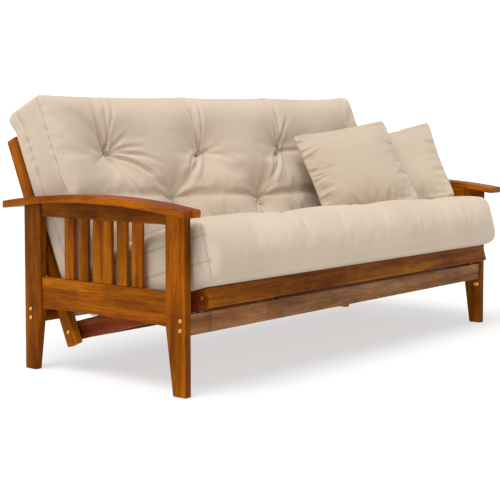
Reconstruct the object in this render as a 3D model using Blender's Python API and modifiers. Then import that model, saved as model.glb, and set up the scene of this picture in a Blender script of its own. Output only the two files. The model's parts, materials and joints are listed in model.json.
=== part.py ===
"""A full-size futon sofa bed: two arched wooden arms joined by two stretchers, a seat deck and a back deck
hinged together, a folded mattress and two loose pillows. Metres, +Z up, +X to the sitter's left as seen
from the front, -Y to the front. The origin is on the floor under the middle of the whole object."""

import math

import bmesh
import bpy
from mathutils import Matrix, Vector

NAME = "futon_sofa_bed"
GAP = 0.0003

# Arms. Y is measured from the middle of the legs until everything is centred at the end.
LEG_OUTER_X = 1.000
LEG_THICK = 0.029
LEG_INNER_X = LEG_OUTER_X - LEG_THICK
LEG_OUTER_Y = 0.3987
LEG_WIDTH = 0.088
FOOT_WIDTH = 0.056
TAPER_TOP = 0.228
LEG_INNER_Y = LEG_OUTER_Y - LEG_WIDTH
ARMREST_X = (0.970, 1.064)
ARMREST_HALF_LENGTH = 0.445
ARMREST_END_Z = 0.590
ARMREST_RISE = 0.0335
ARMREST_THICK = 0.026
RAIL_X = (LEG_INNER_X, 0.993)
APRON_BOTTOM = 0.562
LOWER_RAIL_TOP = 0.342
LOWER_RAIL_BOTTOM = 0.226
LOWER_RAIL_RISE = 0.0145
SLAT_X = (0.975, 0.989)
SLAT_PLACES = {"1": (-0.169, 0.048), "2": (-0.096, 0.048), "3": (0.0, 0.094), "4": (0.096, 0.048), "5": (0.169, 0.048)}

# Stretchers, between the two arms.
FRONT_STRETCHER_Y = (-0.389, -0.364)
FRONT_STRETCHER_Z = (0.2008, 0.2705)
REAR_STRETCHER_Y = (0.355, 0.380)
REAR_STRETCHER_Z = (0.170, 0.240)
BOLT_SPACING = 0.032

# The two decks fold about the main pivot. Each has its own frame there: Y runs back through the deck's
# length on the seat and through its thickness on the back, and Z is up from the seat or along the back.
SEAT_TILT = math.radians(15.5)
BACK_LEAN = math.radians(24.0)
FOLD = math.radians(90.0) + SEAT_TILT - BACK_LEAN
DECK_SLIDE = 0.320
SADDLE_Y = sum(FRONT_STRETCHER_Y) / 2
SADDLE_Z = 0.2745
SADDLE_RADIUS = 0.0088
SADDLE_CLEARANCE = 0.0006
SADDLE_X = (0.8935, 0.9165)
PIVOT_BEHIND_SADDLE = 0.606
SEAT_BOARD_X = (0.8925, 0.9175)
SEAT_BOARD_HALF = 0.034
SEAT_BOARD_TAIL = 0.035
SEAT_LENGTH = 0.682
SEAT_RAIL_HALF_X = 0.930
RAIL_THICK = 0.022
SEAT_REAR_RAIL_Y = -0.072
BACK_BOARD_X = (0.922, 0.955)
BACK_BOARD_HALF = 0.027
BACK_BOARD_Z = (-0.050, 0.759)
BACK_BOTTOM_RAIL_Z = 0.062
DECK_SLATS = 11
DECK_SLAT_WIDTH = 0.060
DECK_SLAT_THICK = 0.012
LEDGER = 0.018
STOP_STRIP_HALF_X = 0.575

# Hardware.
BOLT_SHANK = 0.0030
PIVOT_SHANK = 0.0040
BORE_CLEARANCE = 0.0001
BOLT_HEAD = 0.0072
ROLLER_RADIUS = 0.011
ROLLER_X = (0.9568, 0.9765)
ROLLER_UP_BOARD = 0.130
GROOVE_CLEARANCE = 0.0012
GROOVE_DEPTH = 0.0095

# Mattress: 1.905 m by 1.372 m when flat, folded across its length in the corner between the decks.
MATTRESS_HALF_X = 0.9525
CREASE_HEIGHT = 0.134
CREASE_ALONG = CREASE_HEIGHT / math.tan((math.pi - FOLD) / 2)
SEAT_MATTRESS_TOP = 0.244
BACK_MATTRESS_BOTTOM = 0.030
BACK_MATTRESS_TOP = 0.225
TAIL_RELIEF = (0.042, 0.0045)
SEAT_MATTRESS_FRONT = 0.7558
BACK_MATTRESS_END = 0.855

# Pillows: square, thick in the middle, each given by its centre, the direction of its upper edge and
# the direction down its face, then by where it lies flat on the back half once the bed is open.
PILLOW_SIDE = 0.450
PILLOW_THICK = 0.110
PILLOWS = {
    "pillow_inner": ((0.506, -0.032, 0.702), (0.840, -0.515, 0.166), (-0.1945, -0.574, -0.795), (0.150, 0.520)),
    "pillow_outer": ((0.780, -0.053, 0.690), (0.606, -0.757, 0.248), (-0.391, -0.550, -0.737), (0.695, 0.455)),
}


def deck_axes(turn):
    """Rotation about +X by -turn, as a 3x3 matrix."""
    return Matrix.Rotation(-turn, 3, "X")


def pose(fold_share):
    """The main pivot and the two decks' turns when the fold has gone this share of the way to a bed."""
    tilt = SEAT_TILT * (1 - fold_share)
    lean = BACK_LEAN + (math.radians(90) - BACK_LEAN) * fold_share
    along = PIVOT_BEHIND_SADDLE - DECK_SLIDE * fold_share
    pivot = Vector((0, SADDLE_Y, SADDLE_Z)) + deck_axes(tilt) @ Vector((0, along, SEAT_BOARD_HALF))
    return pivot, tilt, lean


PIVOT, _, _ = pose(0.0)


def back_point(x, rear, up):
    return PIVOT + deck_axes(BACK_LEAN) @ Vector((x, rear, up))


def seat_point(x, rear, up):
    return PIVOT + deck_axes(SEAT_TILT) @ Vector((x, rear, up))


SEAT_FRONT_OUTLINE = (
    (0.686, SEAT_BOARD_HALF + 0.0005),
    (0.722, 0.052),
    (0.748, 0.088),
    (SEAT_MATTRESS_FRONT, 0.1225),
    (0.753, 0.185),
    (0.738, 0.228),
    (0.700, SEAT_MATTRESS_TOP),
)
FRONTMOST = min(seat_point(0, -along, up).y for along, up in SEAT_FRONT_OUTLINE)
REARMOST = back_point(0, BACK_BOARD_HALF, BACK_BOARD_Z[1]).y
DEPTH_MIDDLE = (FRONTMOST + REARMOST) / 2


def principled(name, colour, roughness, metallic=0.0):
    material = bpy.data.materials.new(name)
    material.use_nodes = True
    shader = material.node_tree.nodes["Principled BSDF"]
    shader.inputs["Base Color"].default_value = (*colour, 1.0)
    shader.inputs["Roughness"].default_value = roughness
    shader.inputs["Metallic"].default_value = metallic
    material.diffuse_color = (*colour, 1.0)
    return material


def clear_scene():
    for obj in list(bpy.data.objects):
        bpy.data.objects.remove(obj, do_unlink=True)


def collection(name):
    made = bpy.data.collections.new(name)
    bpy.context.scene.collection.children.link(made)
    return made


clear_scene()
PARTS = collection(NAME)
CUTTERS = collection("cutters")
WOOD = principled("honey_wood", (0.36, 0.145, 0.028), 0.38)
RED_WOOD = principled("red_brown_wood", (0.24, 0.060, 0.020), 0.34)
PINK_WOOD = principled("pinkish_brown_wood", (0.30, 0.135, 0.062), 0.42)
DARK_WOOD = principled("dark_wood", (0.060, 0.018, 0.006), 0.5)
BRASS = principled("brass", (0.62, 0.46, 0.20), 0.3, 1.0)
NYLON = principled("nylon", (0.72, 0.70, 0.64), 0.45)
FABRIC = principled("beige_fabric", (0.60, 0.50, 0.385), 0.9)


def add(name, mesh, material=None, parent=None, location=(0, 0, 0)):
    """A named part, or a hidden cutter when it has no material."""
    obj = bpy.data.objects.new(name, mesh)
    obj.location = location
    obj.parent = parent
    if material:
        mesh.materials.append(material)
        PARTS.objects.link(obj)
    else:
        obj.hide_render = True
        obj.display_type = "WIRE"
        CUTTERS.objects.link(obj)
    return obj


def joint_frame(name, location, turn=0.0):
    """An empty on a joint's axis, turned with the deck that it carries."""
    empty = bpy.data.objects.new(name, None)
    empty.empty_display_size = 0.05
    empty.location = location
    empty.rotation_euler.x = -turn
    PARTS.objects.link(empty)
    return empty


def bevel(obj, width, segments=1):
    modifier = obj.modifiers.new("edges", "BEVEL")
    modifier.width = width
    modifier.segments = segments
    modifier.limit_method = "ANGLE"
    modifier.angle_limit = math.radians(40)


def cut(target, cutter):
    modifier = target.modifiers.new("cut_" + cutter.name, "BOOLEAN")
    modifier.operation = "DIFFERENCE"
    modifier.object = cutter


def box_mesh(name, *boxes):
    """One mesh of boxes, each given by its ranges along X, Y and Z."""
    shape = bmesh.new()
    for ranges in boxes:
        size = [high - low for low, high in ranges]
        middle = [(high + low) / 2 for low, high in ranges]
        place = Matrix.Translation(middle) @ Matrix.Diagonal((*size, 1.0))
        bmesh.ops.create_cube(shape, size=1.0, matrix=place)
    mesh = bpy.data.meshes.new(name)
    shape.to_mesh(mesh)
    shape.free()
    return mesh


def box(name, x, y, z, material, parent=None, edge=0.0015):
    obj = add(name, box_mesh(name, (x, y, z)), material, parent)
    if edge:
        bevel(obj, edge)
    return obj


def extruded(name, outline, x, material=None, parent=None, edge=0.0):
    """A flat outline in the Y-Z plane, extruded across the range x."""
    curve = bpy.data.curves.new(name, "CURVE")
    curve.dimensions = "2D"
    curve.fill_mode = "BOTH"
    curve.extrude = (x[1] - x[0]) / 2
    spline = curve.splines.new("POLY")
    spline.points.add(len(outline) - 1)
    for point, (y, z) in zip(spline.points, outline):
        point.co = (y, z, 0.0, 1.0)
    spline.use_cyclic_u = True
    source = bpy.data.objects.new(name + "_outline", curve)
    bpy.context.scene.collection.objects.link(source)
    graph = bpy.context.evaluated_depsgraph_get()
    mesh = bpy.data.meshes.new_from_object(source.evaluated_get(graph))
    bpy.data.objects.remove(source)
    bpy.data.curves.remove(curve)
    upright = Matrix(((0, 0, 1, 0), (1, 0, 0, 0), (0, 1, 0, 0), (0, 0, 0, 1)))
    mesh.transform(Matrix.Translation((sum(x) / 2, 0, 0)) @ upright)
    mesh.materials.clear()
    shape = bmesh.new()
    shape.from_mesh(mesh)
    bmesh.ops.remove_doubles(shape, verts=shape.verts, dist=1e-6)
    bmesh.ops.dissolve_limit(shape, angle_limit=math.radians(0.4), verts=shape.verts, edges=shape.edges)
    bmesh.ops.recalc_face_normals(shape, faces=shape.faces)
    shape.to_mesh(mesh)
    shape.free()
    obj = add(name, mesh, material, parent)
    if edge:
        bevel(obj, edge)
    return obj


def turned(name, profile, material, parent, location, side, ring=False):
    """A profile of (radius, outward distance) points, outermost first, turned about an axis along X."""
    mesh = bpy.data.meshes.new(name)
    edges = [(i, i + 1) for i in range(len(profile) - 1)]
    if ring:
        edges.append((len(profile) - 1, 0))
    mesh.from_pydata([(radius, 0, out) for radius, out in profile], edges, [])
    obj = add(name, mesh, material, parent, location)
    obj.rotation_euler.y = math.radians(90) * side
    screw = obj.modifiers.new("turn", "SCREW")
    screw.steps = 24
    screw.render_steps = 24
    screw.use_merge_vertices = True
    screw.merge_threshold = 1e-5
    screw.use_smooth_shade = True
    return obj


def bore(target, name, radius, x, y, z, parent=None):
    """Cuts a round hole along X."""
    shape = bmesh.new()
    lie_down = Matrix.Rotation(math.radians(90), 4, "Y")
    bmesh.ops.create_cone(
        shape, cap_ends=True, segments=24, radius1=radius, radius2=radius, depth=x[1] - x[0], matrix=lie_down
    )
    mesh = bpy.data.meshes.new(name)
    shape.to_mesh(mesh)
    shape.free()
    cut(target, add(name, mesh, None, parent, (sum(x) / 2, y, z)))


def bolt_profile(head, height, shank, length, nut=0.0, nut_height=0.0):
    """A domed head outside, a shank, and a nut at its far end when it has one."""
    points = [(0, height), (0.5 * head, 0.93 * height), (0.85 * head, 0.62 * height), (head, 0.2 * height)]
    points += [(head, 0), (shank, 0), (shank, -length)]
    if nut:
        points += [(nut, -length), (nut, -length - nut_height), (0, -length - nut_height)]
    else:
        points += [(0, -length)]
    return points


def mirrored(x, side):
    return (x[0], x[1]) if side > 0 else (-x[1], -x[0])


def arc_height(y, end_z, rise):
    """Height of an arc that rises by rise over its two ends, at a distance y from its middle."""
    radius = (ARMREST_HALF_LENGTH**2 + rise**2) / (2 * rise)
    return end_z + rise - radius + math.sqrt(radius**2 - y**2)


def spread(low, high, count):
    return [low + (high - low) * i / (count - 1) for i in range(count)]


def arm_underside(y):
    return arc_height(y, ARMREST_END_Z, ARMREST_RISE)


def armrest(side, label):
    stations = spread(-ARMREST_HALF_LENGTH, ARMREST_HALF_LENGTH, 17)
    outline = [(y, arm_underside(y)) for y in stations]
    outline += [(y, arm_underside(y) + ARMREST_THICK) for y in reversed(stations)]
    extruded("armrest_" + label, outline, mirrored(ARMREST_X, side), RED_WOOD, edge=0.004)


def apron(side, label):
    stations = spread(-LEG_INNER_Y + GAP, LEG_INNER_Y - GAP, 13)
    outline = [(stations[0], APRON_BOTTOM), (stations[-1], APRON_BOTTOM)]
    outline += [(y, arm_underside(y) - GAP) for y in reversed(stations)]
    extruded("apron_" + label, outline, mirrored(RAIL_X, side), WOOD)


def roller_path(count):
    """Where a roller's centre goes, in Y and Z, as the back deck folds down."""
    places = []
    for share in spread(0.0, 1.0, count):
        pivot, _, lean = pose(share)
        centre = pivot + deck_axes(lean) @ Vector((0, 0, ROLLER_UP_BOARD))
        places.append(Vector((centre.y, centre.z)))
    return places


def groove_outline():
    """The roller's path, wide enough for it, with round ends."""
    width = ROLLER_RADIUS + GROOVE_CLEARANCE
    path = roller_path(13)
    along = [(path[min(i + 1, 12)] - path[max(i - 1, 0)]).normalized() for i in range(13)]
    left = [p + width * Vector((-d.y, d.x)) for p, d in zip(path, along)]
    right = [p - width * Vector((-d.y, d.x)) for p, d in zip(path, along)]

    def cap(centre, heading):
        start = math.atan2(heading.y, heading.x)
        turns = [start - math.pi / 2 + math.pi * i / 8 for i in range(1, 8)]
        return [centre + width * Vector((math.cos(t), math.sin(t))) for t in turns]

    return right + cap(path[-1], along[-1]) + left[::-1] + cap(path[0], -along[0])


def lower_rail(side, label):
    stations = spread(-LEG_INNER_Y + GAP, LEG_INNER_Y - GAP, 13)
    arch = [(y, arc_height(y, LOWER_RAIL_BOTTOM, LOWER_RAIL_RISE)) for y in stations]
    lowest = arch[0][1] - LOWER_RAIL_BOTTOM
    outline = [(y, z - lowest) for y, z in arch]
    outline += [(stations[-1], LOWER_RAIL_TOP), (stations[0], LOWER_RAIL_TOP)]
    rail = extruded("lower_rail_" + label, outline, mirrored(RAIL_X, side), WOOD)
    deep = (RAIL_X[0] - 0.005, RAIL_X[0] + GROOVE_DEPTH)
    cut(rail, extruded("groove_" + label, groove_outline(), mirrored(deep, side)))


def leg(side, label, front):
    """front is -1 for a front leg and +1 for a rear one."""
    inner = LEG_OUTER_Y - FOOT_WIDTH
    outline = [(LEG_OUTER_Y, 0.0), (inner, 0.0), (LEG_INNER_Y, TAPER_TOP)]
    outline += [(y, arm_underside(y) - GAP) for y in spread(LEG_INNER_Y, LEG_OUTER_Y, 4)]
    outline = [(front * y, z) for y, z in outline]
    return extruded("leg_" + label, outline, mirrored((LEG_INNER_X, LEG_OUTER_X), side), WOOD, edge=0.002)


def stretcher_bolts(beam, upright, side, label, y, z_range):
    """Two bolts through the leg into the end of the stretcher, with their bores."""
    middle = sum(z_range) / 2
    deep = mirrored((LEG_INNER_X - 0.045, LEG_OUTER_X + 0.005), side)
    for place, z in (("upper", middle + BOLT_SPACING / 2), ("lower", middle - BOLT_SPACING / 2)):
        name = f"{label}_{place}"
        bore(upright, "leg_bore_" + name, BOLT_SHANK + BORE_CLEARANCE, deep, y, z)
        bore(beam, "stretcher_bore_" + name, BOLT_SHANK + BORE_CLEARANCE, deep, y, z)
        profile = bolt_profile(BOLT_HEAD, 0.0032, BOLT_SHANK, 0.070)
        turned("stretcher_bolt_" + name, profile, BRASS, None, (side * (LEG_OUTER_X + GAP), y, z), side)


def leg_cap(upright, side, label):
    """A brass cap nut on the front leg's inner face."""
    y = SADDLE_Y
    z = 0.178
    bore(upright, "cap_bore_" + label, 0.0041, mirrored((LEG_INNER_X - 0.005, LEG_INNER_X + 0.016), side), y, z)
    profile = bolt_profile(0.0125, 0.007, 0.004, 0.015)
    turned("leg_cap_" + label, profile, BRASS, None, (side * (LEG_INNER_X - GAP), y, z), -side)


def arm_frame():
    half = LEG_INNER_X - GAP
    front_beam = box("front_stretcher", (-half, half), FRONT_STRETCHER_Y, FRONT_STRETCHER_Z, PINK_WOOD)
    rear_beam = box("rear_stretcher", (-half, half), REAR_STRETCHER_Y, REAR_STRETCHER_Z, WOOD)
    for side, label in ((-1, "left"), (1, "right")):
        armrest(side, label)
        apron(side, label)
        lower_rail(side, label)
        for number, (y, width) in SLAT_PLACES.items():
            reach = (y - width / 2, y + width / 2)
            height = (LOWER_RAIL_TOP + GAP, APRON_BOTTOM - GAP)
            box(f"arm_slat_{label}_{number}", mirrored(SLAT_X, side), reach, height, WOOD)
        front_leg = leg(side, "front_" + label, -1)
        rear_leg = leg(side, "rear_" + label, 1)
        stretcher_bolts(front_beam, front_leg, side, "front_" + label, SADDLE_Y, FRONT_STRETCHER_Z)
        rear_y = sum(REAR_STRETCHER_Y) / 2
        stretcher_bolts(rear_beam, rear_leg, side, "rear_" + label, rear_y, REAR_STRETCHER_Z)
        leg_cap(front_leg, side, label)
        notch = (SADDLE_X[0] - 0.002, SADDLE_X[1] + 0.002)
        wide = SADDLE_RADIUS + SADDLE_CLEARANCE
        bore(front_beam, "saddle_notch_" + label, wide, mirrored(notch, side), SADDLE_Y, SADDLE_Z)


def saddles():
    """Half-round nylon saddles that rock in the front stretcher and carry the seat's side boards."""
    frame = joint_frame("seat_tilt_axis", (0, SADDLE_Y, SADDLE_Z), SEAT_TILT)
    turns = [math.pi + math.pi * i / 16 for i in range(17)]
    outline = [(SADDLE_RADIUS * math.cos(t), SADDLE_RADIUS * math.sin(t) - GAP) for t in turns]
    for side, label in ((-1, "left"), (1, "right")):
        extruded("seat_saddle_" + label, outline, mirrored(SADDLE_X, side), NYLON, frame)


def slat_ladder(name, half_x, slat_ranges, ledger_ranges, frame):
    """Evenly spaced slats joined to the two ledgers that carry them, as one piece."""
    ladder = add(name, box_mesh(name, *[((-half_x, half_x), *ledger) for ledger in ledger_ranges]), WOOD, frame)
    reach = half_x - DECK_SLAT_WIDTH / 2 - 0.02
    slats = []
    for x in spread(-reach, reach, DECK_SLATS):
        slats.append(((x - DECK_SLAT_WIDTH / 2, x + DECK_SLAT_WIDTH / 2), *slat_ranges))
    helper = add(name + "_slats", box_mesh(name + "_slats", *slats), None, frame)
    modifier = ladder.modifiers.new("slats", "BOOLEAN")
    modifier.operation = "UNION"
    modifier.object = helper


def seat_deck():
    frame = joint_frame("seat_slide_axis", PIVOT, SEAT_TILT)
    half = SEAT_BOARD_HALF
    rail_back = -SEAT_LENGTH + RAIL_THICK
    inside = SEAT_BOARD_X[0] - GAP
    across = (-half, half)
    front = (-SEAT_LENGTH, rail_back)
    rear = (SEAT_REAR_RAIL_Y, SEAT_REAR_RAIL_Y + RAIL_THICK)
    box("seat_front_rail", (-SEAT_RAIL_HALF_X, SEAT_RAIL_HALF_X), front, across, WOOD, frame, edge=0.003)
    box("seat_rear_rail", (-inside, inside), rear, across, WOOD, frame)
    strip = (-half - GAP - 0.008, -half - GAP)
    strip_y = (-SEAT_LENGTH + 0.005, rail_back - 0.001)
    box("seat_stop_strip", (-STOP_STRIP_HALF_X, STOP_STRIP_HALF_X), strip_y, strip, DARK_WOOD, frame, edge=0.001)
    slat_z = (half - GAP - DECK_SLAT_THICK, half - GAP)
    ledger_z = (slat_z[0] - LEDGER, slat_z[0] + 0.001)
    span = (rail_back + GAP, SEAT_REAR_RAIL_Y - GAP)
    ledgers = [((span[0], span[0] + LEDGER), ledger_z), ((span[1] - LEDGER, span[1]), ledger_z)]
    slat_ladder("seat_slats", inside - GAP, (span, slat_z), ledgers, frame)
    for side, label in ((-1, "left"), (1, "right")):
        x = mirrored(SEAT_BOARD_X, side)
        board = box("seat_side_board_" + label, x, (rail_back + GAP, SEAT_BOARD_TAIL), across, WOOD, frame)
        wide = (SEAT_BOARD_X[0] - 0.01, SEAT_BOARD_X[1] + 0.01)
        bore(board, "seat_pivot_bore_" + label, PIVOT_SHANK + BORE_CLEARANCE, mirrored(wide, side), 0, 0, frame)
        bolt_y = rail_back + 0.022
        deep = (SEAT_BOARD_X[1] - 0.016, SEAT_BOARD_X[1] + 0.01)
        bore(board, "corner_bore_" + label, BOLT_SHANK + BORE_CLEARANCE, mirrored(deep, side), bolt_y, 0.005, frame)
        profile = bolt_profile(0.0070, 0.0025, BOLT_SHANK, 0.015)
        place = (side * (SEAT_BOARD_X[1] + GAP), bolt_y, 0.005)
        turned("seat_corner_bolt_" + label, profile, BRASS, frame, place, side)
        stack = BACK_BOARD_X[1] + GAP - (SEAT_BOARD_X[0] - GAP)
        profile = bolt_profile(0.0080, 0.0035, PIVOT_SHANK, stack, 0.0075, 0.005)
        place = (side * (BACK_BOARD_X[1] + GAP), 0, 0)
        turned("pivot_bolt_" + label, profile, BRASS, frame, place, side)


def back_deck():
    frame = joint_frame("back_fold_axis", PIVOT, BACK_LEAN)
    half = BACK_BOARD_HALF
    inside = BACK_BOARD_X[0] - GAP
    across = (-half, half)
    top = (BACK_BOARD_Z[1] - RAIL_THICK, BACK_BOARD_Z[1])
    bottom = (BACK_BOTTOM_RAIL_Z, BACK_BOTTOM_RAIL_Z + RAIL_THICK)
    box("back_top_rail", (-inside, inside), across, top, WOOD, frame)
    box("back_bottom_rail", (-inside, inside), across, bottom, WOOD, frame)
    slat_y = (-half + GAP, -half + GAP + DECK_SLAT_THICK)
    ledger_y = (slat_y[1] - 0.001, slat_y[1] + LEDGER)
    span = (bottom[1] + GAP, top[0] - GAP)
    ledgers = [(ledger_y, (span[0], span[0] + LEDGER)), (ledger_y, (span[1] - LEDGER, span[1]))]
    slat_ladder("back_slats", inside - GAP, (slat_y, span), ledgers, frame)
    for side, label in ((-1, "left"), (1, "right")):
        x = mirrored(BACK_BOARD_X, side)
        board = box("back_side_board_" + label, x, across, BACK_BOARD_Z, WOOD, frame, edge=0.003)
        wide = mirrored((BACK_BOARD_X[0] - 0.01, BACK_BOARD_X[1] + 0.01), side)
        bore(board, "back_pivot_bore_" + label, PIVOT_SHANK + BORE_CLEARANCE, wide, 0, 0, frame)
        bore(board, "roller_bore_" + label, PIVOT_SHANK + BORE_CLEARANCE, wide, 0, ROLLER_UP_BOARD, frame)
        stack = ROLLER_X[1] + GAP - (BACK_BOARD_X[0] - GAP)
        profile = bolt_profile(0.0065, 0.0018, PIVOT_SHANK, stack, 0.0075, 0.005)
        place = (side * (ROLLER_X[1] + GAP), 0, ROLLER_UP_BOARD)
        turned("roller_bolt_" + label, profile, BRASS, frame, place, side)
        hub = PIVOT_SHANK + BORE_CLEARANCE
        thick = ROLLER_X[1] - ROLLER_X[0]
        chamfer = 0.0015
        rim = [(ROLLER_RADIUS - chamfer, 0), (ROLLER_RADIUS, -chamfer)]
        rim += [(ROLLER_RADIUS, chamfer - thick), (ROLLER_RADIUS - chamfer, -thick)]
        ring = [(hub, 0), *rim, (hub, -thick)]
        centre = back_point(side * ROLLER_X[1], 0, ROLLER_UP_BOARD)
        turned("roller_" + label, ring, NYLON, None, centre, side, ring=True)


def crease(top):
    """How far along its deck the fold's inner corner lies, at this height above the deck."""
    return CREASE_ALONG + (top - CREASE_HEIGHT) / math.tan((math.pi - FOLD) / 2)


def mattress():
    """The two halves meet in the plane that bisects the fold, and leave the fold's underside open. The back
    half is relieved there, so that it clears the tails of the seat's side boards once the bed is flat."""
    x = (-MATTRESS_HALF_X, MATTRESS_HALF_X)
    start = CREASE_ALONG + 0.0005
    seat = [(start, SEAT_BOARD_HALF + 0.0005), *SEAT_FRONT_OUTLINE]
    seat += [(crease(SEAT_MATTRESS_TOP) + 0.0005, SEAT_MATTRESS_TOP), (start, CREASE_HEIGHT)]
    frame = joint_frame("mattress_slide_axis", PIVOT, SEAT_TILT)
    extruded("mattress_seat", [(-along, up) for along, up in seat], x, FABRIC, frame)
    end = BACK_MATTRESS_END
    bottom = BACK_MATTRESS_BOTTOM + 0.0005
    top = BACK_MATTRESS_TOP
    reach, rise = TAIL_RELIEF
    back = [(start, bottom + rise), (start + reach, bottom + rise), (start + reach + 0.006, bottom)]
    back += [(end - 0.030, bottom), (end, bottom + 0.035), (end, top - 0.040), (end - 0.025, top)]
    back += [(crease(top) + 0.0005, top), (start, CREASE_HEIGHT)]
    hinge = seat_point(0, -CREASE_ALONG, CREASE_HEIGHT)
    frame = joint_frame("mattress_fold_axis", hinge, BACK_LEAN)
    shift = back_point(0, 0, 0) - hinge
    shift = deck_axes(BACK_LEAN).transposed() @ shift
    extruded("mattress_back", [(shift.y - up, shift.z + along) for along, up in back], x, FABRIC, frame)


def pillow_axes(edge, down):
    """Rotation whose X runs along the upper edge, Y up the face, and Z out of the pillow's front."""
    across = Vector(edge).normalized()
    up = -Vector(down)
    up = (up - up.dot(across) * across).normalized()
    return Matrix((across, up, across.cross(up))).transposed()


def flat_axes(turn):
    """The same, for a pillow lying on the back half, turned in its plane."""
    return deck_axes(BACK_LEAN) @ Matrix.Rotation(math.radians(90), 3, "X") @ Matrix.Rotation(turn, 3, "Z")


def settling_hinge(centre, axes, flat_x, flat_up):
    """The one hinge that swings a leaning pillow flat onto the mattress: (point, axis, angle). The pillow's
    turn in its own plane is chosen so that the hinge needs no shift along its axis."""
    goal = back_point(flat_x, -BACK_MATTRESS_TOP - PILLOW_THICK / 2 - 0.004, flat_up)
    move = goal - centre

    def shift(turn):
        axis, angle = (flat_axes(turn) @ axes.transposed()).to_quaternion().to_axis_angle()
        return move.dot(axis), axis, angle

    low = math.radians(-60)
    high = math.radians(60)
    rising = shift(high)[0] > shift(low)[0]
    for _ in range(50):
        middle = (low + high) / 2
        if (shift(middle)[0] > 0) == rising:
            high = middle
        else:
            low = middle
    _, axis, angle = shift((low + high) / 2)
    point = (centre + goal) / 2 + axis.cross(move) / (2 * math.tan(angle / 2))
    return point, axis, angle


def pillow_mesh(name):
    """A cube drawn out into a square pad that thins towards its edges, with pointed corners."""
    shape = bmesh.new()
    bmesh.ops.create_cube(shape, size=2.0)
    bmesh.ops.subdivide_edges(shape, edges=shape.edges, cuts=7, use_grid_fill=True)
    half = PILLOW_SIDE / 2
    rim = 0.004
    for vert in shape.verts:
        a, b, c = vert.co
        crown = math.sqrt(max(0.0, (1 - a * a) * (1 - b * b)))
        vert.co.x = a * half * (1 - 0.05 * (1 - b * b))
        vert.co.y = b * half * (1 - 0.05 * (1 - a * a))
        vert.co.z = c * (rim + (PILLOW_THICK / 2 - rim) * crown)
    bmesh.ops.recalc_face_normals(shape, faces=shape.faces)
    mesh = bpy.data.meshes.new(name)
    shape.to_mesh(mesh)
    shape.free()
    mesh.shade_smooth()
    return mesh


def pillows():
    for name, (centre, edge, down, flat) in PILLOWS.items():
        axes = pillow_axes(edge, down)
        point, _, _ = settling_hinge(Vector(centre), axes, *flat)
        frame = joint_frame(name + "_axis", point)
        obj = add(name, pillow_mesh(name), FABRIC, frame, Vector(centre) - point)
        obj.rotation_euler = axes.to_euler()


def main():
    arm_frame()
    saddles()
    seat_deck()
    back_deck()
    mattress()
    pillows()
    for obj in bpy.data.objects:
        if obj.parent is None:
            obj.location.y -= DEPTH_MIDDLE


main()
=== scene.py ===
"""Looks for the futon sofa bed: stained wood on the frame, a tufted folding mattress and two pillows."""

import json
import math

import bmesh
import bpy
import numpy as np
from mathutils import Matrix, Vector


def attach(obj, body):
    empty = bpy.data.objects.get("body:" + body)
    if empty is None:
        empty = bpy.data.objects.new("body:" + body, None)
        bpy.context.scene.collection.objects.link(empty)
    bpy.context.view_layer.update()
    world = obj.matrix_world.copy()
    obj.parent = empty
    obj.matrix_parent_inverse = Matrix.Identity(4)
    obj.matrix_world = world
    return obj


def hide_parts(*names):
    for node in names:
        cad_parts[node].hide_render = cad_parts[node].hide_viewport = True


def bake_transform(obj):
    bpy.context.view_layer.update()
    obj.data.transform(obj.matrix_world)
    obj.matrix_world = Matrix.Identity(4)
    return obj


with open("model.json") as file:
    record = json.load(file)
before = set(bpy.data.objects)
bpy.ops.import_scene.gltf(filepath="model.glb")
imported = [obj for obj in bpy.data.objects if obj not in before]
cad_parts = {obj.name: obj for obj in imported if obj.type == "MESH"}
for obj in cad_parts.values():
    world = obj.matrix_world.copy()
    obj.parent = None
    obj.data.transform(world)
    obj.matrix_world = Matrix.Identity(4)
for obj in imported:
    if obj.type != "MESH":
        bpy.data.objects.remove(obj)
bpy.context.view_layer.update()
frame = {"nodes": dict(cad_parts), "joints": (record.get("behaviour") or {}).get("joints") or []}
NODES = frame["nodes"]
JOINTS = {joint["name"]: joint for joint in frame["joints"]}

# Where the decks fold, and the two decks' directions at rest (Y back, Z up).
FOLD = math.radians(JOINTS["mattress_fold"]["range_deg"][1])
FOLD_POINT = np.array(JOINTS["mattress_fold"]["pos_m"], float)
SEAT_TILT = math.radians(15.5)
BACK_LEAN = math.radians(24.0)

# The mattress is made flat: X across, S along from the fold (seat negative), H up from the fold's height.
MATTRESS_HALF_X = 0.956
SEAT_END = -0.640
BACK_END = 0.7395
BOTTOM = -0.0995
SEAT_TOP = 0.108
BACK_TOP = 0.097
FULL_TOP = 0.100
SEAT_RADII = np.array([0.022, 0.055, 0.050])
BACK_RADII = np.array([0.016, 0.030, 0.030])
BLEND_BAND = 0.065
CELL = 0.0165
SEAM_HEIGHTS = (0.066, 0.166)
# The border narrows on the seat and widens on the back: rows of the cut, and where they go on each half.
CUT_ROWS = (0.0, 0.066, 0.166, 0.1995)
SEAT_ROWS = (0.0, 0.073, 0.149, 0.1995)
BACK_ROWS = (0.0, 0.066, 0.181, 0.1995)
CORNER_SEAM = SEAT_END + 0.020
SEAM_WIDTH = 0.0030
SEAM_DEPTH = 0.0022
CORNER_SEAM_WIDTH = 0.004
PUCKER_WIDTH = 0.014
PUCKER_DEPTH = 0.0020
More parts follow.
